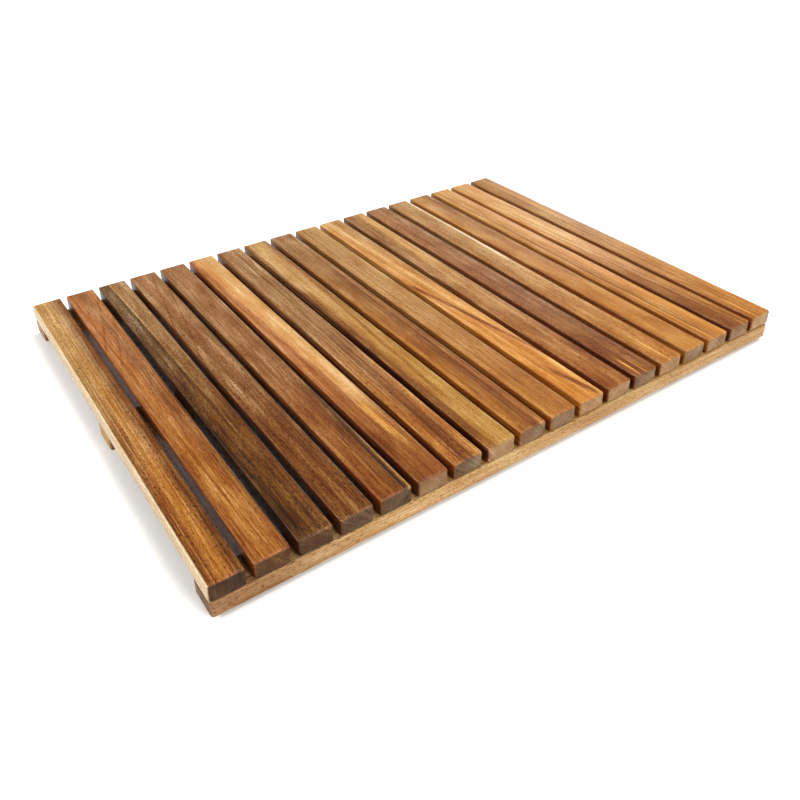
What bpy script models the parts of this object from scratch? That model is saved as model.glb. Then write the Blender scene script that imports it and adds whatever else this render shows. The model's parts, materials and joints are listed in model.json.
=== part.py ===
"""Slatted acacia bath mat: eighteen slats screwed from below to three runners on nine rubber feet.

Metres, +Z up. The origin is on the floor under the middle of the mat. +X runs along the row of
slats, in the direction of the runners. +Y runs along each slat, from the front edge to the back.
"""

import math

import bmesh
import bpy
from mathutils import Vector

# Driving dimensions.
MAT_WIDTH = 0.600  # along X, over all the slats
MAT_DEPTH = 0.440  # along Y, the length of a slat
SLAT_COUNT = 18
STOCK_WIDTH = 0.028  # slats and runners are cut from the same planed stock
STOCK_THICKNESS = 0.015
EASED_RADIUS = 0.002  # sanded round on every long edge and end
FIT_GAP = 0.0003  # left between pieces that touch

# Where the slats and the runners lie.
SLAT_PITCH = (MAT_WIDTH - STOCK_WIDTH) / (SLAT_COUNT - 1)
SLAT_X = [-MAT_WIDTH / 2 + STOCK_WIDTH / 2 + SLAT_PITCH * i for i in range(SLAT_COUNT)]
RUNNER_Y = {
    "front": -(MAT_DEPTH - STOCK_WIDTH) / 2,
    "middle": 0.0,
    "back": (MAT_DEPTH - STOCK_WIDTH) / 2,
}

# Rubber feet: round, a little narrower at the floor, with a well for the screw's head. They stand
# between two screws of the runner, under a gap between slats: near each end and in the middle.
FOOT_HEIGHT = 0.003
FOOT_TOP_RADIUS = 0.0070
FOOT_SIDE_RADIUS = 0.0066  # where the side meets the soft edge at the floor
FOOT_FLOOR_RADIUS = 0.0059  # of the flat that touches the floor
FOOT_SOFT_EDGE = 0.0006
FOOT_WELL_RADIUS = 0.0034
FOOT_WELL_DEPTH = 0.0021
FOOT_BORE_RADIUS = 0.0018
FOOT_X = {
    "left": -SLAT_PITCH * (SLAT_COUNT / 2 - 1),
    "middle": 0.0,
    "right": SLAT_PITCH * (SLAT_COUNT / 2 - 1),
}

RUNNER_BOTTOM = FOOT_HEIGHT + FIT_GAP
RUNNER_TOP = RUNNER_BOTTOM + STOCK_THICKNESS
SLAT_BOTTOM = RUNNER_TOP + FIT_GAP

# Holes for the slat screws: one where each slat crosses each runner, countersunk from below.
HEAD_RADIUS = 0.0037
HEAD_RIM = 0.0008  # straight wall at the mouth, so the head sits below the wood
SHANK_HOLE_RADIUS = 0.0021
COUNTERSINK_DEPTH = 0.0027
PILOT_RADIUS = 0.0017
PILOT_DEPTH = 0.0110  # up into a slat

# Pan-head screws that hold the feet, and their pilot holes in the runners.
FOOT_SCREW_RADIUS = 0.0014
FOOT_SCREW_HEAD_RADIUS = 0.0029
FOOT_SCREW_HEAD_HEIGHT = 0.0014
FOOT_SCREW_CROWN_RADIUS = 0.0020  # of the flat on top of the head
FOOT_SCREW_CROWN = 0.0009  # how far the head's rounding runs down its side
FOOT_SCREW_LENGTH = 0.0110  # under the head
FOOT_SCREW_POINT = 0.0025
FOOT_PILOT_RADIUS = FOOT_SCREW_RADIUS + FIT_GAP
FOOT_PILOT_DEPTH = 0.0110

HOLE_SIDES = 10
FOOT_SIDES = 32
SCREW_SIDES = 12
EASED_SEGMENTS = 2
MERGE = 0.00001
PAST = 0.002  # how far a cutter stands out of the face that it cuts
SHARP_ANGLE = math.radians(35)

# Acacia tones, as sRGB hex. Each slat is from a different board, and they are laid as they come.
TONES = {
    "straw": "C2935A",
    "honey": "CC935A",
    "copper": "B4763F",
    "umber": "7E5634",
    "walnut": "8E6342",
    "tan": "A8794D",
    "olive": "AD8450",
}
SLAT_TONES = (
    "straw copper umber walnut walnut honey tan olive tan "
    "straw honey copper tan straw honey honey copper honey"
).split()
RUNNER_TONE = "C08A56"


def clear_scene():
    for obj in list(bpy.data.objects):
        bpy.data.objects.remove(obj, do_unlink=True)


def collection(name):
    """A new collection in the scene."""
    made = bpy.data.collections.new(name)
    bpy.context.scene.collection.children.link(made)
    return made


def linear(hex_colour):
    """An sRGB hex colour as linear RGBA."""
    srgb = [int(hex_colour[i : i + 2], 16) / 255 for i in (0, 2, 4)]
    return [c / 12.92 if c <= 0.04045 else ((c + 0.055) / 1.055) ** 2.4 for c in srgb] + [1.0]


def material(name, hex_colour, roughness, metallic=0.0):
    """A Principled material of one colour."""
    made = bpy.data.materials.new(name)
    made.use_nodes = True
    shader = made.node_tree.nodes["Principled BSDF"]
    shader.inputs["Base Color"].default_value = linear(hex_colour)
    shader.inputs["Roughness"].default_value = roughness
    shader.inputs["Metallic"].default_value = metallic
    return made


def place(name, mesh, home, finish=None, at=(0.0, 0.0, 0.0)):
    """An object of this mesh, in this collection, at this point."""
    obj = bpy.data.objects.new(name, mesh)
    obj.location = at
    home.objects.link(obj)
    if finish is not None:
        mesh.materials.clear()
        mesh.materials.append(finish)
    return obj


def box_mesh(name, size):
    """A box centred on the origin, with its size in its mesh."""
    mesh = bpy.data.meshes.new(name)
    shape = bmesh.new()
    bmesh.ops.create_cube(shape, size=1.0)
    bmesh.ops.scale(shape, vec=Vector(size), verts=shape.verts)
    shape.to_mesh(mesh)
    shape.free()
    return mesh


def turned_mesh(name, profile, sides):
    """A profile of (radius, height) points, from the top down its outer side, turned about +Z."""
    mesh = bpy.data.meshes.new(name)
    points = [(radius, 0.0, height) for radius, height in profile]
    edges = [(i, i + 1) for i in range(len(points) - 1)]
    if profile[0][0] > 0.0:  # a ring's profile closes on itself
        edges.append((len(points) - 1, 0))
    mesh.from_pydata(points, edges, [])
    obj = place(name, mesh, cutters)
    turn = obj.modifiers.new("turn", "SCREW")
    turn.steps = turn.render_steps = sides
    turn.use_merge_vertices = True
    turn.merge_threshold = MERGE
    return finished_mesh(obj)


def finished_mesh(obj):
    """The mesh of this helper as its modifiers leave it. The helper is removed."""
    bpy.context.view_layer.update()
    graph = bpy.context.evaluated_depsgraph_get()
    name = obj.name
    mesh = bpy.data.meshes.new_from_object(obj.evaluated_get(graph))
    bpy.data.objects.remove(obj, do_unlink=True)
    mesh.name = name
    return mesh


def eased_bar(name, size):
    """A bar whose long edges and ends are sanded round."""
    obj = place(name, box_mesh(name, size), cutters)
    ease = obj.modifiers.new("ease", "BEVEL")
    ease.width = EASED_RADIUS
    ease.segments = EASED_SEGMENTS
    ease.limit_method = "ANGLE"
    return obj


def drill(obj, hole_profile, sides, points):
    """Cuts one turned hole at each of these points."""
    hole = turned_mesh(obj.name + "_hole", hole_profile, sides)
    row = bmesh.new()
    for point in points:
        start = len(row.verts)
        row.from_mesh(hole)
        row.verts.ensure_lookup_table()
        bmesh.ops.translate(row, vec=Vector(point), verts=row.verts[start:])
    mesh = bpy.data.meshes.new(obj.name + "_holes")
    row.to_mesh(mesh)
    row.free()
    cutter = place(mesh.name, mesh, cutters)
    cutter.hide_render = True
    cutter.display_type = "WIRE"
    cut = obj.modifiers.new("drill", "BOOLEAN")
    cut.operation = "DIFFERENCE"
    cut.object = cutter
    cut.solver = "EXACT"


def blind_hole(radius, depth):
    """Profile of a hole up into a face at z = 0."""
    return [(0.0, depth), (radius, depth), (radius, -PAST), (0.0, -PAST)]


def countersunk_hole():
    """Profile of a hole right through a runner whose underside is at z = 0."""
    return [
        (0.0, STOCK_THICKNESS + PAST),
        (SHANK_HOLE_RADIUS, STOCK_THICKNESS + PAST),
        (SHANK_HOLE_RADIUS, COUNTERSINK_DEPTH),
        (HEAD_RADIUS, HEAD_RIM),
        (HEAD_RADIUS, -PAST),
        (0.0, -PAST),
    ]


def slat_mesh():
    """One slat, with a pilot hole in its underside over each runner."""
    bar = eased_bar("slat", (STOCK_WIDTH, MAT_DEPTH, STOCK_THICKNESS))
    underside = -STOCK_THICKNESS / 2
    points = [(0.0, y, underside) for y in RUNNER_Y.values()]
    drill(bar, blind_hole(PILOT_RADIUS, PILOT_DEPTH), HOLE_SIDES, points)
    return finished_mesh(bar)


def runner_mesh():
    """One runner, with a countersunk hole under each slat and a pilot hole over each foot."""
    bar = eased_bar("runner", (MAT_WIDTH, STOCK_WIDTH, STOCK_THICKNESS))
    underside = -STOCK_THICKNESS / 2
    drill(bar, countersunk_hole(), HOLE_SIDES, [(x, 0.0, underside) for x in SLAT_X])
    feet = [(x, 0.0, underside) for x in FOOT_X.values()]
    drill(bar, blind_hole(FOOT_PILOT_RADIUS, FOOT_PILOT_DEPTH), HOLE_SIDES, feet)
    return finished_mesh(bar)


def foot_mesh():
    """One rubber foot, with its underside at z = 0: a ring round its bore and screw well."""
    profile = [
        (FOOT_BORE_RADIUS, FOOT_HEIGHT),
        (FOOT_TOP_RADIUS, FOOT_HEIGHT),
        (FOOT_SIDE_RADIUS, FOOT_SOFT_EDGE),
        (FOOT_FLOOR_RADIUS, 0.0),
        (FOOT_WELL_RADIUS, 0.0),
        (FOOT_WELL_RADIUS, FOOT_WELL_DEPTH),
        (FOOT_BORE_RADIUS, FOOT_WELL_DEPTH),
    ]
    return turned_mesh("foot", profile, FOOT_SIDES)


def foot_screw_mesh():
    """One pan-head screw, point up, with the underside of its head at z = 0."""
    profile = [
        (0.0, FOOT_SCREW_LENGTH),
        (FOOT_SCREW_RADIUS, FOOT_SCREW_LENGTH - FOOT_SCREW_POINT),
        (FOOT_SCREW_RADIUS, 0.0),
        (FOOT_SCREW_HEAD_RADIUS, 0.0),
        (FOOT_SCREW_HEAD_RADIUS, FOOT_SCREW_CROWN - FOOT_SCREW_HEAD_HEIGHT),
        (FOOT_SCREW_CROWN_RADIUS, -FOOT_SCREW_HEAD_HEIGHT),
        (0.0, -FOOT_SCREW_HEAD_HEIGHT),
    ]
    return turned_mesh("foot_screw", profile, SCREW_SIDES)


def add_slats():
    shape = slat_mesh()
    woods = {tone: material("acacia_" + tone, TONES[tone], 0.5) for tone in TONES}
    for number, (x, tone) in enumerate(zip(SLAT_X, SLAT_TONES), start=1):
        at = (x, 0.0, SLAT_BOTTOM + STOCK_THICKNESS / 2)
        place(f"slat_{number:02d}", shape.copy(), parts, woods[tone], at)


def add_runners():
    shape = runner_mesh()
    wood = material("acacia_runner", RUNNER_TONE, 0.55)
    for where, y in RUNNER_Y.items():
        at = (0.0, y, RUNNER_BOTTOM + STOCK_THICKNESS / 2)
        place("runner_" + where, shape, parts, wood, at)


def add_feet():
    rubber = material("foot_rubber", "26262A", 0.8)
    steel = material("stainless_steel", "B9BABC", 0.3, metallic=1.0)
    foot = foot_mesh()
    screw = foot_screw_mesh()
    under_head = FOOT_WELL_DEPTH - FIT_GAP
    for row, y in RUNNER_Y.items():
        for side, x in FOOT_X.items():
            place(f"foot_{row}_{side}", foot, parts, rubber, (x, y, 0.0))
            place(f"foot_screw_{row}_{side}", screw, parts, steel, (x, y, under_head))


clear_scene()
parts = collection("bath_mat")
cutters = collection("cutters")  # also where a shape is while its modifiers are applied
add_slats()
add_runners()
add_feet()
for piece in parts.all_objects:
    piece.data.shade_smooth()
    piece.data.set_sharp_from_angle(angle=SHARP_ANGLE)
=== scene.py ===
"""The looks of a slatted acacia bath mat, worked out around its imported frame.

Metres, in the frame's axes: +X along the row of slats, +Y along each slat from its front end to its
back end, +Z up from the floor.
"""

import json
import math

import bmesh
import bpy
import numpy as np
from mathutils import Matrix, Vector


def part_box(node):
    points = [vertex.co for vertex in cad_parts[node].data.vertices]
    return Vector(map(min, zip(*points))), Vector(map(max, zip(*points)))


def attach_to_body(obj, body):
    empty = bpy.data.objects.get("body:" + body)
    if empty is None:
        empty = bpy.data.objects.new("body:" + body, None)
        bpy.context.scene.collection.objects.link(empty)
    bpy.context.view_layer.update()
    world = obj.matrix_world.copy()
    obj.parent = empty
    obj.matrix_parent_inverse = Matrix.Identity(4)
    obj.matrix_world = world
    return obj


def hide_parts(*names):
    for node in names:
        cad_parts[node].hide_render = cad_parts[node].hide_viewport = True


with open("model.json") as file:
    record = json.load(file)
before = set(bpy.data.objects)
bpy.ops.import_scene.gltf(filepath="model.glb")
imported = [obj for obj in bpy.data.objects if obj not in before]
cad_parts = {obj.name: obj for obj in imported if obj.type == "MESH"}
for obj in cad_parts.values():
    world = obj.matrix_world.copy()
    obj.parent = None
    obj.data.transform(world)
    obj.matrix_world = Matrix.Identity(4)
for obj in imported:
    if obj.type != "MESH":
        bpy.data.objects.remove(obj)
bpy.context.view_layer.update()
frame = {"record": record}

MM = 0.001
ROWS = ("front", "middle", "back")
SIDES = ("left", "middle", "right")
SLATS = [f"slat_{number:02d}" for number in range(1, 19)]
SLOTS = {part["node"]: part["material_slot"] for part in frame["record"]["subparts"]}


# ---------------------------------------------------------------- shapes

EASED = 1.5 * MM  # sanded round on the long edges of a bar
END_EASED = 2.8 * MM  # and round its ends, which are sanded more
ARC = 6  # steps in a quarter round
STATION = 9.0 * MM  # between two rings of a bar
PLANED = 0.03 * MM  # how unevenly a face was planed
SHARP = math.radians(35)  # an edge is shaded as sharp past this angle


def box_of(name):
    """Centre and size of a CAD node, as two arrays."""
    low, high = (np.array(corner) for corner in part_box(name))
    return (low + high) / 2, high - low


def wave(along, rng, shortest=0.05, longest=0.32, parts=5):
    """A slow curve between about -1 and 1: a mean of sines of random wavelength and phase."""
    lengths = rng.uniform(shortest, longest, parts)
    phases = rng.uniform(0, 2 * math.pi, parts)
    return np.sin(2 * math.pi * along[:, None] / lengths + phases).mean(axis=1) * 1.6


def ring_mesh(name, points, closed=False):
    """A closed skin over points shaped (rings, around, 3): a quad between each two rings and two
    steps. The first and last ring are filled, or where closed is true they are joined instead."""
    rings, around = points.shape[:2]
    ring, step = np.meshgrid(np.arange(rings - (not closed)), np.arange(around), indexing="ij")
    ahead, beside = (ring + 1) % rings, (step + 1) % around
    corners = (ring * around + step, ring * around + beside,
               ahead * around + beside, ahead * around + step)
    faces = np.stack(corners, axis=-1).reshape(-1, 4).tolist()
    if not closed:
        faces.append(list(range(around))[::-1])
        faces.append(list(range((rings - 1) * around, rings * around)))
    mesh = bpy.data.meshes.new(name)
    mesh.from_pydata(points.reshape(-1, 3).tolist(), [], faces)
    return mesh


def bar_points(size, rng):
    """Rings of a planed bar, sanded by hand, centred on the origin with its length along Y.

    A ring is a rounded rectangle: in each quarter, the corner of an inner rectangle plus the
    corner's radius times (cos a, sin a). Near an end the rings draw in by e (1 - sin b) while they
    near the end face by e (1 - cos b), which rounds the end with radius e, END_EASED. Each corner's
    radius and the height of each face change slowly along the bar, as sanding leaves them."""
    width, length, height = size
    turn = np.linspace(0, math.pi / 2, ARC + 1)
    inset = np.concatenate([[1.3], 1 - np.sin(turn)]) * END_EASED
    reach = np.concatenate([[0.0], 1 - np.cos(turn)]) * END_EASED
    middle = np.linspace(END_EASED, length - END_EASED, int(length / STATION))[1:-1]
    along = np.concatenate([reach, middle, length - reach[::-1]]) - length / 2
    inset = np.concatenate([inset, np.zeros(len(middle)), inset[::-1]])

    quarter = np.repeat(np.arange(4), ARC + 1)
    angle = (quarter + np.tile(np.linspace(0, 1, ARC + 1), 4)) * math.pi / 2
    side_x = np.where((quarter == 0) | (quarter == 3), 1, -1)
    side_z = np.where(quarter < 2, 1, -1)

    radius = np.stack([EASED * (1 + 0.16 * wave(along, rng)) for _ in range(4)], axis=1)[:, quarter]
    radius = np.maximum(radius - inset[:, None], 0.2 * MM)
    half_x = width / 2 - inset - PLANED * (1.6 + wave(along, rng))
    half_z = height / 2 - inset - PLANED * (1.6 + wave(along, rng))
    x = side_x * (half_x[:, None] - radius) + radius * np.cos(angle)
    z = side_z * (half_z[:, None] - radius) + radius * np.sin(angle)
    return np.stack([x, np.broadcast_to(along[:, None], x.shape), z], axis=-1)[:, ::-1]


def turned_points(profile, angle):
    """Rings about +Z from a profile of (radius, height), from the bottom up its outer side. At angle
    a a point is (radius cos a, radius sin a, height). A radius may differ from angle to angle."""
    radius = np.array([np.broadcast_to(r, angle.shape) for r, _ in profile])
    height = np.array([h for _, h in profile], float)
    return np.stack([radius * np.cos(angle), radius * np.sin(angle),
                     np.broadcast_to(height[:, None], radius.shape)], axis=-1)


def circle(steps):
    """Angles evenly round a circle."""
    return np.linspace(0, 2 * math.pi, steps, endpoint=False)


def screw_points(head, arm, depth, core, crest, pitch, thread, tip):
    """Rings of a wood screw, point up. First comes the recess: the outline of a plus sign with arms
    this long, at its floor and at its mouth. The outline is, at each angle, the further of two crossed
    bars, where a bar's edge is the nearer of its end and its side. Then come circles, the head's
    profile of (radius, height). Above it the radius is core, and from the height thread on a ridge
    stands on it up to crest: a triangle wave of height / pitch - angle / turn. Over its last
    millimetres it draws in to a point at the height tip."""
    quadrant = np.radians([-16, 0, 16, 30, 45, 60])
    angle = (circle(4)[:, None] + quadrant).ravel()
    tiny = 1e-6  # keeps the divisions below finite
    over = np.abs(np.cos(angle)) + tiny
    up = np.abs(np.sin(angle)) + tiny
    side = arm * math.tan(math.radians(16))
    plus = np.maximum(np.minimum(arm / over, side / up), np.minimum(side / over, arm / up))
    face = head[0][1]
    profile = [(0.6 * plus, face + depth), (plus, face)] + list(head)

    height = np.arange(head[-1][1] + 0.05 * MM, tip, pitch / 4)
    turns = (height[:, None] / pitch - angle / (2 * math.pi)) % 1
    ridge = np.clip(1.6 - 3.2 * np.abs(turns - 0.5), 0, 1) * (height > thread)[:, None]
    point = np.clip((tip - height) / (2.6 * MM), 0.06, 1)[:, None]
    radius = (core + (crest - core) * ridge) * point
    return turned_points(profile + list(zip(radius, height)), angle)


def drill(obj, profile, spots):
    """Cuts a turned hole with this profile out of the piece at each of these places."""
    holes = bmesh.new()
    for x, y in spots:
        hole = ring_mesh("hole", turned_points(profile, circle(24)))
        hole.transform(Matrix.Translation((x, y, 0)))
        holes.from_mesh(hole)
        bpy.data.meshes.remove(hole)
    mesh = bpy.data.meshes.new("holes")
    holes.to_mesh(mesh)
    holes.free()
    cutter = bpy.data.objects.new("holes", mesh)
    bpy.context.scene.collection.objects.link(cutter)
    cut = obj.modifiers.new("drill", "BOOLEAN")
    cut.object = cutter
    cut.solver = "EXACT"
    bpy.context.view_layer.update()
    drilled = bpy.data.meshes.new_from_object(obj.evaluated_get(bpy.context.evaluated_depsgraph_get()))
    obj.modifiers.clear()
    obj.data = drilled
    bpy.data.objects.remove(cutter)
    shade(drilled)


def shade(mesh):
    """Smooth, but for its sharp edges."""
    mesh.shade_smooth()
    mesh.set_sharp_from_angle(angle=SHARP)


def place(name, mesh, at=(0.0, 0.0, 0.0), finish=None):
    """An object at the scene's origin, with its mesh moved to its place."""
    mesh.transform(Matrix.Translation(at))
    obj = bpy.data.objects.new(name, mesh)
    bpy.context.scene.collection.objects.link(obj)
    shade(mesh)
    if finish is not None:
        mesh.materials.append(finish)
    return obj


# ---------------------------------------------------------------- materials

def linear(hex_colour):
    """An sRGB hex colour as linear RGBA."""
    srgb = [int(hex_colour[i : i + 2], 16) / 255 for i in (0, 2, 4)]
    return [c / 12.92 if c <= 0.04045 else ((c + 0.055) / 1.055) ** 2.4 for c in srgb] + [1.0]


def material(name):
    """A new material, with its node tree and its Principled shader."""
    made = bpy.data.materials.new(name)
    made.use_nodes = True
    return made, made.node_tree, made.node_tree.nodes["Principled BSDF"]


def add(tree, kind, inputs, **settings):
    """Adds a node. Inputs, by a socket's name or number, are values, or what to link from."""
    made = tree.nodes.new("ShaderNode" + kind)
    for name, value in settings.items():
        setattr(made, name, value)
    for key, value in inputs.items():
        if isinstance(value, bpy.types.NodeSocket):
            tree.links.new(value, made.inputs[key])
        else:
            made.inputs[key].default_value = value
    return made.outputs[0]


def ramp(tree, factor, stops, low=0.0, high=1.0):
    """A colour ramp with these (position, sRGB hex) stops, whose positions run from low to high."""
    if (low, high) != (0.0, 1.0):
        factor = add(tree, "MapRange", {"Value": factor, "From Min": low, "From Max": high})
    socket = add(tree, "ValToRGB", {"Fac": factor})
    scale = socket.node.color_ramp
    scale.interpolation = "EASE"
    for _ in stops[2:]:
        scale.elements.new(0.5)
    for element, (position, colour) in zip(scale.elements, stops):
        element.position = (position - low) / (high - low)
        element.color = linear(colour)
    return socket


# The wood's tones under oil, named as a joiner would.
TONES = {
    # paler, toward the back: partly the wood's own tone, partly a painted sheen
    "cream": "C8B494", "blond": "B28A56", "peach": "AE7E4A", "straw": "A27E4C", "honey": "A07442",
    "wheat": "987448", "tan": "926A3E", "fawn": "8A6640", "mauve": "84603C", "rosewood": "825836",
    "copper": "905C32", "smoke": "74583A", "walnut": "5C4226",
    # deeper, toward the front: partly the wood's own tone, partly painted shade
    "gilt": "C8944A", "gold": "B07A34", "amber": "A66C2A", "toffee": "986428", "khaki": "987034",
    "caramel": "8E5A24", "cinnamon": "82501E", "russet": "7A4618", "chestnut": "6E3E14", "cocoa": "643A14",
    "umber": "583410", "bark": "46280A", "plum": "703216",
    # cut ends
    "almond": "967858", "biscuit": "886846", "oak": "7A5C40", "hazel": "6A523A", "clay": "5C4A36",
    "loam": "483422", "coffee": "42280E", "peat": "2A1808",
}
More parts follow.
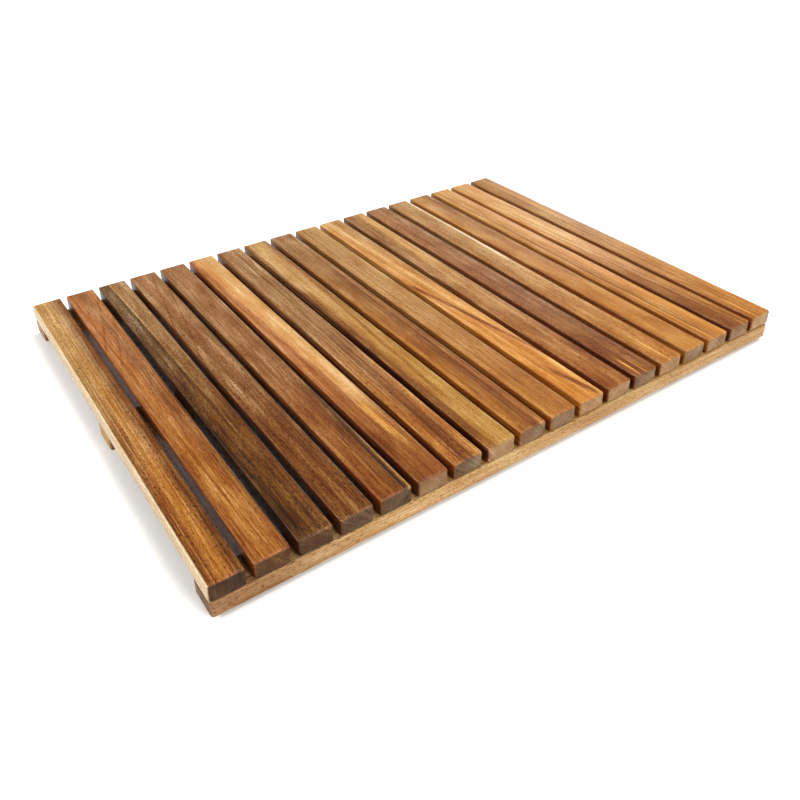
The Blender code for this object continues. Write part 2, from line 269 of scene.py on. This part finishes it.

# Each board is cut from a different place in a different tree. Its tones run across the top face
# from its left edge, 0, to its right edge, 1, at the back end and at the front end.
#   back, front   (place across, tone) stops
#   end           tone of the front end's grain, darker board by board toward the left, partly painted shade
#   pith          where the heart of the tree lies from the board's centre, (across, up) in mm
#   lean          how far the grain drifts sideways over half the length, in mm
#   change        where the front's tones take over, from -1, front end, to 1, back end, and how softly
#   lines         (spacing in mm, strength) of the growth lines
#   pores         strength of the open pores
#   wander        how far the grain wavers, in mm
#   veins         dark or light lines: (place across at the back, and at the front, where along the
#                 board it begins and ends, as for change, width in mm, tone)
BOARDS = {
    "slat_01": dict(
        back=((0.03, "cream"), (0.07, "straw"), (0.45, "straw"), (0.72, "fawn"), (0.95, "chestnut")),
        front=((0.03, "cream"), (0.07, "cocoa"), (0.3, "russet"), (0.48, "toffee"), (0.66, "cinnamon"),
               (0.82, "cocoa")),
        end="peat", pith=(90, -6), lean=0.0, wander=0.8, change=(0.1, 0.9), lines=(2.6, 0.5), pores=0.9),
    "slat_02": dict(
        back=((0.0, "copper"), (0.4, "copper"), (0.7, "rosewood"), (1.0, "copper")),
        front=((0.0, "russet"), (0.35, "caramel"), (0.6, "russet"), (1.0, "cocoa")),
        end="coffee", pith=(-60, -60), lean=5.0, change=(0.0, 0.7), lines=(1.5, 0.35), pores=0.5,
        veins=((0.05, 0.4, -1.0, 0.1, 0.8, "chestnut"), (0.5, 0.85, -1.0, 0.3, 0.8, "cocoa"),
               (1.3, -2.6, 0.3, 1.2, 1.2, "russet"), (1.7, -2.2, 0.2, 1.2, 1.2, "russet"))),
    "slat_03": dict(
        back=((0.0, "walnut"), (0.54, "walnut"), (0.59, "wheat"), (0.66, "mauve"), (0.95, "fawn"),
              (1.2, "smoke")),
        front=((0.0, "bark"), (0.45, "umber"), (0.9, "cocoa"), (1.0, "umber")),
        end="coffee", pith=(-50, -60), lean=5.0, change=(0.1, 0.5), lines=(3.0, 0.35), pores=0.9,
        veins=((-0.02, 0.12, -1.0, -0.15, 1.1, "peat"),)),
    "slat_04": dict(
        back=((0.0, "rosewood"), (0.35, "mauve"), (0.6, "rosewood"), (1.0, "mauve")),
        front=((0.0, "cocoa"), (0.4, "cocoa"), (1.0, "umber")),
        end="loam", pith=(-60, -55), lean=8.0, change=(-0.1, 0.8), lines=(3.4, 0.45), pores=0.9,
        veins=((1.1, -2.0, 0.2, 1.0, 1.2, "chestnut"), (1.5, -1.6, 0.0, 1.0, 1.2, "chestnut"))),
    "slat_05": dict(
        back=((0.0, "mauve"), (0.5, "rosewood"), (1.0, "mauve")),
        front=((0.0, "russet"), (0.5, "chestnut"), (0.8, "cocoa"), (1.0, "bark")),
        end="loam", pith=(60, -55), lean=-2.0, change=(-0.2, 0.8), lines=(2.8, 0.3), pores=0.6,
        veins=((1.15, 0.96, -1.0, -0.45, 2.2, "honey"), (1.0, 0.83, -1.0, -0.35, 1.6, "peat"))),
    "slat_06": dict(
        back=((0.1, "copper"), (0.4, "copper"), (0.52, "peach"), (1.0, "blond")),
        front=((0.0, "chestnut"), (0.5, "russet"), (1.0, "cinnamon")),
        end="oak", pith=(-60, -60), lean=7.0, change=(-0.54, 0.2), lines=(4.5, 0.3), pores=0.5,
        veins=((0.62, 0.46, -0.76, -0.52, 4.0, "gold"),)),
    "slat_07": dict(
        back=((0.0, "mauve"), (0.4, "fawn"), (0.7, "mauve"), (1.0, "mauve")),
        front=((0.0, "caramel"), (0.34, "caramel"), (0.46, "chestnut"), (0.76, "chestnut"),
               (0.88, "caramel"), (1.0, "toffee")),
        end="clay", pith=(-60, -60), lean=-3.0, change=(-0.3, 0.5), lines=(2.6, 0.6), pores=0.8),
    "slat_08": dict(
        back=((0.0, "fawn"), (0.3, "straw"), (0.62, "straw"), (0.85, "mauve"), (1.05, "smoke")),
        front=((0.0, "cocoa"), (0.34, "cinnamon"), (0.52, "khaki"), (1.0, "khaki")),
        end="biscuit", pith=(-60, -40), lean=-3.0, change=(0.1, 0.5), lines=(4.0, 0.5), pores=0.7,
        wander=5.0,
        veins=((0.05, 0.3, -1.0, 0.3, 4.5, "cocoa"), (0.9, 0.5, -0.7, 0.7, 2.5, "cinnamon"))),
    "slat_09": dict(
        back=((0.0, "mauve"), (0.5, "mauve"), (1.0, "mauve")),
        front=((0.0, "toffee"), (0.35, "cinnamon"), (0.6, "chestnut"), (1.0, "cinnamon")),
        end="hazel", pith=(-65, -50), lean=-1.5, change=(0.2, 0.9), lines=(2.6, 0.45), pores=0.5),
    "slat_10": dict(
        back=((0.0, "wheat"), (0.6, "wheat"), (0.85, "straw"), (1.0, "tan")),
        front=((0.0, "toffee"), (0.5, "caramel"), (1.0, "caramel")),
        end="hazel", pith=(60, -60), lean=-1.0, change=(-0.2, 0.9), lines=(2.2, 0.4), pores=0.6),
    "slat_11": dict(
        back=((0.0, "blond"), (0.3, "peach"), (0.55, "blond"), (0.8, "honey"), (1.0, "wheat")),
        front=((0.0, "amber"), (0.35, "amber"), (0.7, "gold"), (1.0, "gold")),
        end="biscuit", pith=(-60, -60), lean=7.0, change=(0.0, 0.8), lines=(4.2, 0.5), pores=0.5,
        veins=((-0.55, 1.08, -0.82, 0.14, 3.0, "plum"), (-2.2, 0.62, -1.0, -0.7, 3.6, "plum"))),
    "slat_12": dict(
        back=((0.0, "mauve"), (0.35, "tan"), (0.55, "blond"), (0.8, "straw"), (1.0, "tan")),
        front=((0.0, "cinnamon"), (0.45, "russet"), (0.75, "cinnamon"), (1.0, "russet")),
        end="biscuit", pith=(60, -60), lean=-7.0, change=(-0.1, 0.8), lines=(3.0, 0.4), pores=0.6),
    "slat_13": dict(
        back=((0.0, "rosewood"), (0.5, "rosewood"), (1.0, "mauve")),
        front=((0.0, "chestnut"), (0.5, "chestnut"), (1.0, "chestnut")),
        end="hazel", pith=(-60, -60), lean=2.0, change=(-0.2, 0.8), lines=(3.0, 0.3), pores=0.6,
        veins=((0.2, 0.2, -1.0, -0.86, 1.6, "gilt"), (0.42, 0.42, -1.0, -0.9, 1.2, "gilt"))),
    "slat_14": dict(
        back=((0.0, "fawn"), (0.2, "tan"), (0.5, "wheat"), (0.85, "straw"), (1.0, "blond")),
        front=((0.0, "cinnamon"), (0.4, "toffee"), (1.0, "toffee")),
        end="biscuit", pith=(-60, -50), lean=-2.0, change=(-0.2, 0.9), lines=(1.9, 0.35), pores=0.8,
        veins=((0.5, 0.5, -1.0, -0.8, 1.3, "gilt"), (0.72, 0.72, -1.0, -0.86, 1.2, "gilt"),
               (0.86, 0.9, 0.0, 1.2, 3.2, "cream"))),
    "slat_15": dict(
        back=((0.0, "honey"), (0.45, "tan"), (0.75, "rosewood"), (1.0, "rosewood")),
        front=((0.0, "russet"), (0.25, "toffee"), (1.0, "toffee")),
        end="hazel", pith=(60, -60), lean=-2.0, change=(0.2, 0.8), lines=(5.0, 0.15), pores=0.3),
    "slat_16": dict(
        back=((0.0, "honey"), (0.5, "honey"), (0.85, "peach"), (1.0, "blond")),
        front=((0.0, "toffee"), (0.4, "toffee"), (0.7, "amber"), (1.0, "gold")),
        end="oak", pith=(-60, -60), lean=1.0, change=(-0.1, 0.9), lines=(1.8, 0.5), pores=0.4,
        veins=((0.34, 0.3, -1.0, 0.2, 0.9, "chestnut"), (0.44, 0.42, -1.0, -0.1, 0.8, "russet"))),
    "slat_17": dict(
        back=((0.0, "honey"), (0.12, "peach"), (0.5, "blond"), (1.0, "peach")),
        front=((0.0, "chestnut"), (0.35, "cinnamon"), (0.7, "toffee"), (1.0, "caramel")),
        end="oak", pith=(-60, -60), lean=8.0, change=(-0.25, 0.6), lines=(2.2, 0.45), pores=0.4),
    "slat_18": dict(
        back=((0.0, "tan"), (0.45, "tan"), (0.6, "honey"), (0.8, "tan"), (1.0, "tan")),
        front=((0.0, "caramel"), (0.5, "toffee"), (1.0, "amber")),
        end="almond", pith=(-60, -60), lean=-1.0, change=(-0.2, 0.8), lines=(2.2, 0.35), pores=0.5,
        veins=((0.62, 0.6, 0.3, 0.9, 1.6, "gilt"), (0.35, 0.35, -1.0, -0.85, 1.8, "gilt"))),
}
RUNNER_WOOD = dict(
    back=((0.0, "honey"), (0.5, "blond"), (1.0, "straw")),
    front=((0.0, "mauve"), (0.5, "tan"), (1.0, "mauve")),
    pith=(-70, -40), lean=1.5, change=(-0.72, 0.3), lines=(1.7, 0.4), pores=1.1)
RUNNER_ENDS = {"front": "hazel", "middle": "straw", "back": "almond"}


STOCK_WIDTH = 28.0  # mm
TOP = 7.5  # mm from a board's centre up to its top face
VEIN_TAPER = 0.08  # half the stretch, in half lengths, over which a vein begins or ends

# What each adds to the depth of the wood's tone.
FIBRES = 1.5
CLOUDS = 0.8
PORES = 0.6
# painted shade on the slats' side faces, in the gaps between them
PAINTED_GAP_SHADE = 0.45


def acacia(name, centre, seed, back, front, end, pith, lean, change, lines, pores,
           wander=2.5, veins=(), half_length=220.0, crosswise=False):
    """Oiled acacia, planed and sanded: streaked heartwood with open pores under a satin oil.

    The figure is a solid one. The distance to the heart of the tree gives the growth rings, so the
    arcs on an end meet the lines on the faces. A crosswise board lies along X instead of Y."""
    made, tree, shader = material(name)
    rng = np.random.default_rng(seed)

    def maths(operation, *values):
        return add(tree, "Math", dict(enumerate(values)), operation=operation)

    def fade(value, low, high, to_low=0.0, to_high=1.0):
        """Runs smoothly from to_low at low to to_high at high."""
        limits = {"Value": value, "From Min": low, "From Max": high, "To Min": to_low, "To Max": to_high}
        return add(tree, "MapRange", limits, interpolation_type="SMOOTHSTEP")

    def noise(vector, sizes, detail=2.0, roughness=0.5):
        """Noise, 0 to 1, whose lumps have these sizes across, along and up, in mm."""
        fitted = add(tree, "Mapping", {"Vector": vector, "Location": rng.uniform(-90, 90, 3),
                                       "Scale": [1 / size for size in sizes]})
        settings = {"Vector": fitted, "Scale": 1.0, "Detail": detail, "Roughness": roughness}
        return add(tree, "TexNoise", settings)

    def mix(factor, first, second):
        mixed = add(tree, "Mix", {"Factor": factor, 6: first, 7: second}, data_type="RGBA")
        return mixed.node.outputs[2]

    def streaks(stops):
        """Tones across the top face, from half a width left of it to half a width right of it."""
        return ramp(tree, spot, [(place, TONES[tone]) for place, tone in stops], -0.5, 1.5)

    # Millimetres from the board's centre: across, along from front to back, up.
    x, y, z = np.array(centre) / MM
    start = (y, -x, -z) if crosswise else (-x, -y, -z)
    space = tree.nodes.new("ShaderNodeTexCoord")
    turn = (0, 0, math.pi / 2 if crosswise else 0)
    local = add(tree, "Mapping", {"Vector": space.outputs["Object"], "Location": start,
                                  "Rotation": turn, "Scale": (1 / MM,) * 3})
    across, along, up = add(tree, "SeparateXYZ", {0: local}).node.outputs
    t = maths("DIVIDE", along, half_length)

    # The grain leans and wavers.
    drift = maths("MULTIPLY", t, lean)
    waver = maths("MULTIPLY_ADD", noise(local, (60, 210, 60)), 2 * wander, -wander)
    warped = maths("ADD", maths("ADD", across, drift), waver)

    # Distance to the heart, then the place across the top face, 0 to 1.
    distance = math.hypot(*pith)
    toward_x, toward_z = -pith[0] / distance, -pith[1] / distance
    from_heart = {0: maths("SUBTRACT", warped, pith[0]), 2: maths("SUBTRACT", up, pith[1])}
    arm = add(tree, "CombineXYZ", from_heart)
    ring = add(tree, "VectorMath", {0: arm}, operation="LENGTH").node.outputs["Value"]
    per_mm = 1 / (STOCK_WIDTH * toward_x)
    spot = maths("MULTIPLY_ADD", ring, per_mm, 0.5 - (distance + TOP * toward_z) * per_mm)

    # Tones at the two ends, and how one gives way to the other. Besides the wood's own tone, the back's
    # tones are paler with a painted sheen and the front's deeper with painted shade.
    ragged = maths("MULTIPLY_ADD", noise(local, (9, 90, 9)), 0.5, maths("SUBTRACT", t, 0.25))
    share = fade(ragged, change[0] + change[1], change[0] - change[1])
    tone = mix(share, streaks(back), streaks(front))
    for at_back, at_front, begins, ends, thick, line_tone in veins:
        centre_line = maths("MULTIPLY_ADD", t, (at_back - at_front) / 2, (at_back + at_front) / 2)
        off = maths("MULTIPLY", maths("ABSOLUTE", maths("SUBTRACT", spot, centre_line)), STOCK_WIDTH)
        starting = fade(ragged, begins - VEIN_TAPER, begins + VEIN_TAPER)
        stopping = fade(ragged, ends + VEIN_TAPER, ends - VEIN_TAPER)
        run = maths("MULTIPLY", starting, stopping)
        strength = maths("MULTIPLY", fade(off, thick, thick * 0.3, 0.0, 0.85), run)
        tone = mix(strength, tone, linear(TONES[line_tone]))

    # Growth lines, fibres, pores and a broad cloudiness darken or lighten it. A gamma over 1 darkens
    # wood and warms it at once, as a deeper oil stain does.
    wobble = maths("MULTIPLY_ADD", noise(local, (5, 60, 5)), 1.6, ring)
    year = maths("MULTIPLY_ADD", wobble, 1 / lines[0], seed * 7.0)
    growth = add(tree, "TexNoise", {"W": year, "Scale": 1.0, "Detail": 3.0, "Roughness": 0.65},
                 noise_dimensions="1D")
    fibre = noise(local, (0.9, 40, 0.9), detail=4.0, roughness=0.7)
    cloud = noise(local, (14, 50, 14), detail=3.0)
    # Acacia's pores are 0.2 to 0.3 mm wide. They are drawn 0.55 mm wide, so that they show.
    pore = fade(noise(local, (0.55, 4.0, 0.55), detail=1.0), 0.54, 0.64)
    facing = add(tree, "SeparateXYZ", {0: space.outputs["Normal"]}).node.outputs
    cut = fade(maths("ABSOLUTE", facing[0 if crosswise else 1]), 0.55, 0.95)
    ring_depth = maths("MULTIPLY_ADD", cut, -0.9 * lines[1], 2.1 * lines[1])
    ringed = maths("MULTIPLY", maths("SUBTRACT", growth, 0.5), ring_depth)
    depth = maths("ADD", ringed, 1.0)
    calm = maths("MULTIPLY_ADD", cut, -0.75, 1.0)  # fibres and pores show less on the ends
    depth = maths("MULTIPLY_ADD", maths("SUBTRACT", fibre, 0.5), maths("MULTIPLY", calm, FIBRES), depth)
    depth = maths("MULTIPLY_ADD", maths("SUBTRACT", cloud, 0.5), CLOUDS, depth)
    depth = maths("MULTIPLY_ADD", pore, maths("MULTIPLY", calm, PORES * pores), depth)
    if not crosswise:  # painted shade: the slats' side faces, which stand in the gaps, are darkened
        depth = maths("MULTIPLY_ADD", fade(maths("ABSOLUTE", facing[0]), 0.6, 0.95), PAINTED_GAP_SHADE, depth)

    # The cut ends soak up more oil and go darker. Their tones, darker toward the front left, also hold
    # painted shade.
    tone = mix(maths("MULTIPLY", cut, 0.93), tone, linear(TONES[end]))
    colour = add(tree, "Gamma", {"Color": tone, "Gamma": depth})
    tree.links.new(colour, shader.inputs["Base Color"])
    shader.inputs["Specular IOR Level"].default_value = 0.2  # oiled wood shines less than varnish

    # A satin oil: smooth on dense wood, duller in the pores and dull on the open end grain.
    rough = maths("MULTIPLY_ADD", fibre, 0.2, maths("MULTIPLY_ADD", pore, 0.2, 0.22))
    tree.links.new(maths("MULTIPLY_ADD", cut, 0.4, rough), shader.inputs["Roughness"])
    # Heights in mm: the oil sinks into the pores, and the fibres stand up a little.
    height = maths("MULTIPLY_ADD", pore, -0.05, maths("MULTIPLY", fibre, 0.05))
    bump = add(tree, "Bump", {"Height": height, "Distance": MM, "Strength": 0.8})
    tree.links.new(bump, shader.inputs["Normal"])
    return made


def stainless_steel():
    """Stainless steel screws, tumbled: a soft grey shine with a fine frosting."""
    made, tree, shader = material("stainless_steel")
    shader.inputs["Base Color"].default_value = linear("B9BABC")
    shader.inputs["Metallic"].default_value = 1.0
    space = tree.nodes.new("ShaderNodeTexCoord")
    frosting = {"Vector": space.outputs["Object"], "Scale": 1 / (0.3 * MM), "Detail": 2.0}
    grain = add(tree, "TexNoise", frosting)
    rough = add(tree, "MapRange", {"Value": grain, "To Min": 0.22, "To Max": 0.42})
    tree.links.new(rough, shader.inputs["Roughness"])
    bump = add(tree, "Bump", {"Height": grain, "Distance": 0.01 * MM, "Strength": 0.5})
    tree.links.new(bump, shader.inputs["Normal"])
    return made


def foot_rubber():
    """Moulded rubber: a dull charcoal with a fine spark-eroded grain and a little dust in it."""
    made, tree, shader = material("foot_rubber")
    space = tree.nodes.new("ShaderNodeTexCoord")
    place_on = space.outputs["Object"]
    grain = add(tree, "TexNoise", {"Vector": place_on, "Scale": 1 / (0.35 * MM), "Detail": 3.0})
    dust = add(tree, "TexNoise", {"Vector": place_on, "Scale": 1 / (4 * MM), "Detail": 4.0})
    tree.links.new(ramp(tree, dust, ((0.3, "222225"), (0.7, "34343A"))), shader.inputs["Base Color"])
    rough = add(tree, "MapRange", {"Value": grain, "To Min": 0.68, "To Max": 0.88})
    tree.links.new(rough, shader.inputs["Roughness"])
    bump = add(tree, "Bump", {"Height": grain, "Distance": 0.04 * MM, "Strength": 0.6})
    tree.links.new(bump, shader.inputs["Normal"])
    return made


def pale_floor():
    """A matt white floor, with a little unevenness."""
    made, tree, shader = material("pale_floor")
    space = tree.nodes.new("ShaderNodeTexCoord")
    cloud = add(tree, "TexNoise", {"Vector": space.outputs["Object"], "Scale": 3.0, "Detail": 2.0})
    tree.links.new(ramp(tree, cloud, ((0.3, "F3F3F2"), (0.7, "F6F6F5"))), shader.inputs["Base Color"])
    shader.inputs["Roughness"].default_value = 0.9
    return made


# ---------------------------------------------------------------- pieces

# Millimetres.
PILOT = 1.7  # radius of a pilot hole
PILOT_DEPTH = 11
PAST = 1  # how far a drill starts outside the wood


def attach(piece, slot, *replaced):
    """The piece rides on the mat, and the CAD nodes that it stands for are hidden. The slot is not used.
    """
    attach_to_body(piece, "root")
    if replaced:
        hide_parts(*replaced)


def make_slats():
    """Planed bars, with pilot holes for the screws in their undersides."""
    underside = box_of("slat_01")[0][2] - box_of("slat_01")[1][2] / 2
    pilot = [(PILOT * MM, underside - PAST * MM), (PILOT * MM, underside + PILOT_DEPTH * MM)]
    rows = [box_of("runner_" + row)[0][1] for row in ROWS]
    for number, name in enumerate(SLATS, start=1):
        rng = np.random.default_rng(number)
        centre, size = box_of(name)
        wood = acacia("oiled_acacia_" + name, centre, number, **BOARDS[name])
        piece = place(name + "_board", ring_mesh(name, bar_points(size, rng)), centre, wood)
        drill(piece, pilot, [(centre[0], y) for y in rows])
        attach(piece, SLOTS[name], name)


def make_runners():
    """Battens of the same stock. From below each has a countersunk hole under every slat, and a pilot
    hole over every foot."""
    columns = [box_of(name)[0][0] for name in SLATS]
    for number, row in enumerate(ROWS):
        name = "runner_" + row
        seed = 40 + number
        rng = np.random.default_rng(seed)
        centre, size = box_of(name)
        wood = acacia("oiled_acacia_" + name, centre, seed, half_length=300.0, crosswise=True,
                      end=RUNNER_ENDS[row], **RUNNER_WOOD)
        points = bar_points(size[[1, 0, 2]], rng)
        turned = np.stack([points[..., 1], -points[..., 0], points[..., 2]], axis=-1)
        piece = place(name + "_batten", ring_mesh(name, turned), centre, wood)

        underside = centre[2] - size[2] / 2
        sunk = [(3.7, -PAST), (3.7, 0.8), (2.1, 2.7), (2.1, 17)]
        pilot = [(PILOT, -PAST), (PILOT, PILOT_DEPTH)]
        feet = [box_of(f"foot_{row}_{side}")[0][0] for side in SIDES]
        drill(piece, [(r * MM, underside + h * MM) for r, h in sunk], [(x, centre[1]) for x in columns])
        drill(piece, [(r * MM, underside + h * MM) for r, h in pilot], [(x, centre[1]) for x in feet])
        attach(piece, "acacia_runner", name)


def make_slat_screws(steel):
    """A countersunk screw where each slat crosses each runner, its head just below the wood."""
    head = [(3.2, 0.4), (3.4, 0.55), (3.4, 0.85), (1.75, 2.7), (1.5, 3.0)]
    points = screw_points([(r * MM, h * MM) for r, h in head], 1.9 * MM, 1.3 * MM,
                          1.15 * MM, 1.6 * MM, 1.4 * MM, 9 * MM, 25.5 * MM)
    for row in ROWS:
        centre, size = box_of("runner_" + row)
        for name in SLATS:
            at = (box_of(name)[0][0], centre[1], centre[2] - size[2] / 2)
            piece = place(f"{name}_screw_{row}", ring_mesh("slat_screw", points), at, steel)
            attach(piece, "stainless_steel")


def make_feet(rubber, steel):
    """Moulded rubber pads with a raised lip round the screw's well and a fine groove near the rim,
    each held by a pan-head screw."""
    pad = [(1.8, 2.1), (3.3, 2.1), (3.4, 2.0), (3.4, 0.35), (3.55, 0.1), (3.8, 0.0), (4.55, 0.0),
           (4.7, 0.12), (4.8, 0.35), (5.1, 0.35), (5.2, 0.12), (5.35, 0.0), (5.8, 0.0), (6.25, 0.15),
           (6.5, 0.4), (6.62, 0.75), (6.95, 2.7), (6.85, 2.93), (6.6, 3.0), (1.95, 3.0), (1.8, 2.9)]
    head = [(1.5, 0.4), (2.1, 0.48), (2.55, 0.7), (2.82, 1.05), (2.9, 1.4), (2.9, 1.7), (2.75, 1.8),
            (1.4, 1.8)]
    screw = screw_points([(r * MM, h * MM) for r, h in head], 1.35 * MM, 0.9 * MM,
                         1.0 * MM, 1.4 * MM, 1.1 * MM, 2.2 * MM, 12.7 * MM)
    for row in ROWS:
        for side in SIDES:
            name = f"foot_{row}_{side}"
            (x, y, _), _ = box_of(name)
            rings = turned_points([(r * MM, h * MM) for r, h in pad], circle(64))
            piece = place(name + "_pad", ring_mesh(name, rings, closed=True), (x, y, 0), rubber)
            attach(piece, "foot_rubber", name)
            name = f"foot_screw_{row}_{side}"
            piece = place(name + "_pan_head", ring_mesh(name, screw), (x, y, 0), steel)
            attach(piece, "stainless_steel", name)


def make_stage():
    """A floor to every side."""
    reach = 12.0
    corners = np.array([(-1, -1, 0), (1, -1, 0), (1, 1, 0), (-1, 1, 0)]) * reach
    mesh = bpy.data.meshes.new("floor")
    mesh.from_pydata(corners.tolist(), [], [(0, 1, 2, 3)])
    place("floor", mesh, finish=pale_floor())


def soft_light(name, toward, power, spread):
    """Even light from this direction, as from a soft box that fills this many degrees of the sky."""
    light = bpy.data.lights.new(name, "SUN")
    light.energy = power
    light.angle = math.radians(spread)
    obj = bpy.data.objects.new(name, light)
    obj.rotation_euler = Vector(toward).to_track_quat("Z", "Y").to_euler()
    bpy.context.scene.collection.objects.link(obj)


def make_lights():
    """White studio light. The sky is white at the horizon, where it meets the floor, a little lighter
    overhead, and dim between, where it would lie as a grey veil on the oiled faces. The main box hangs
    high on the right, so that the gaps stay dark from the left, two more light the front and the left
    side, and a weak low one catches the far edges."""
    world = bpy.data.worlds.new("studio")
    world.use_nodes = True
    tree = world.node_tree
    sky = tree.nodes["Background"]
    direction = tree.nodes.new("ShaderNodeTexCoord").outputs["Generated"]
    rise = add(tree, "SeparateXYZ", {0: direction}).node.outputs["Z"]
    stops = ((0.0, "FAFAFA"), (0.12, "F4F4F4"), (0.25, "6C6C6C"), (0.7, "6C6C6C"), (0.92, "A0A0A0"))
    tree.links.new(ramp(tree, rise, stops), sky.inputs["Color"])
    sky.inputs["Strength"].default_value = 1.15
    bpy.context.scene.world = world
    soft_light("main_box", (0.42, -0.05, 0.9), 2.2, 34)
    soft_light("front_box", (0.2, -0.85, 0.5), 2.6, 24)
    soft_light("left_box", (-0.7, 0.38, 0.54), 3.0, 14)
    soft_light("edge_box", (0.75, 0.62, 0.12), 0.22, 9)


def make_camera():
    """Looks along the diagonal of the mat from its front left, from a little above. The shift keeps
    the upright edges nearly parallel."""
    data = bpy.data.cameras.new("camera")
    data.lens = 36.8
    data.shift_y = -0.1
    data.clip_start, data.clip_end = 0.01, 100
    camera = bpy.data.objects.new("camera", data)
    camera.location = (-0.399, -0.586, 0.452)
    bearing, tilt, roll = math.radians(34.5), math.radians(31.4), math.radians(-0.5)
    turn = Matrix.Rotation(-bearing, 4, "Z") @ Matrix.Rotation(math.pi / 2 - tilt, 4, "X")
    camera.rotation_euler = (turn @ Matrix.Rotation(roll, 4, "Z")).to_euler()
    bpy.context.scene.collection.objects.link(camera)
    bpy.context.scene.camera = camera


make_stage()
make_lights()
make_camera()
steel = stainless_steel()
make_slats()
make_runners()
make_slat_screws(steel)
make_feet(foot_rubber(), steel)
bpy.context.scene.view_settings.view_transform = "Standard"
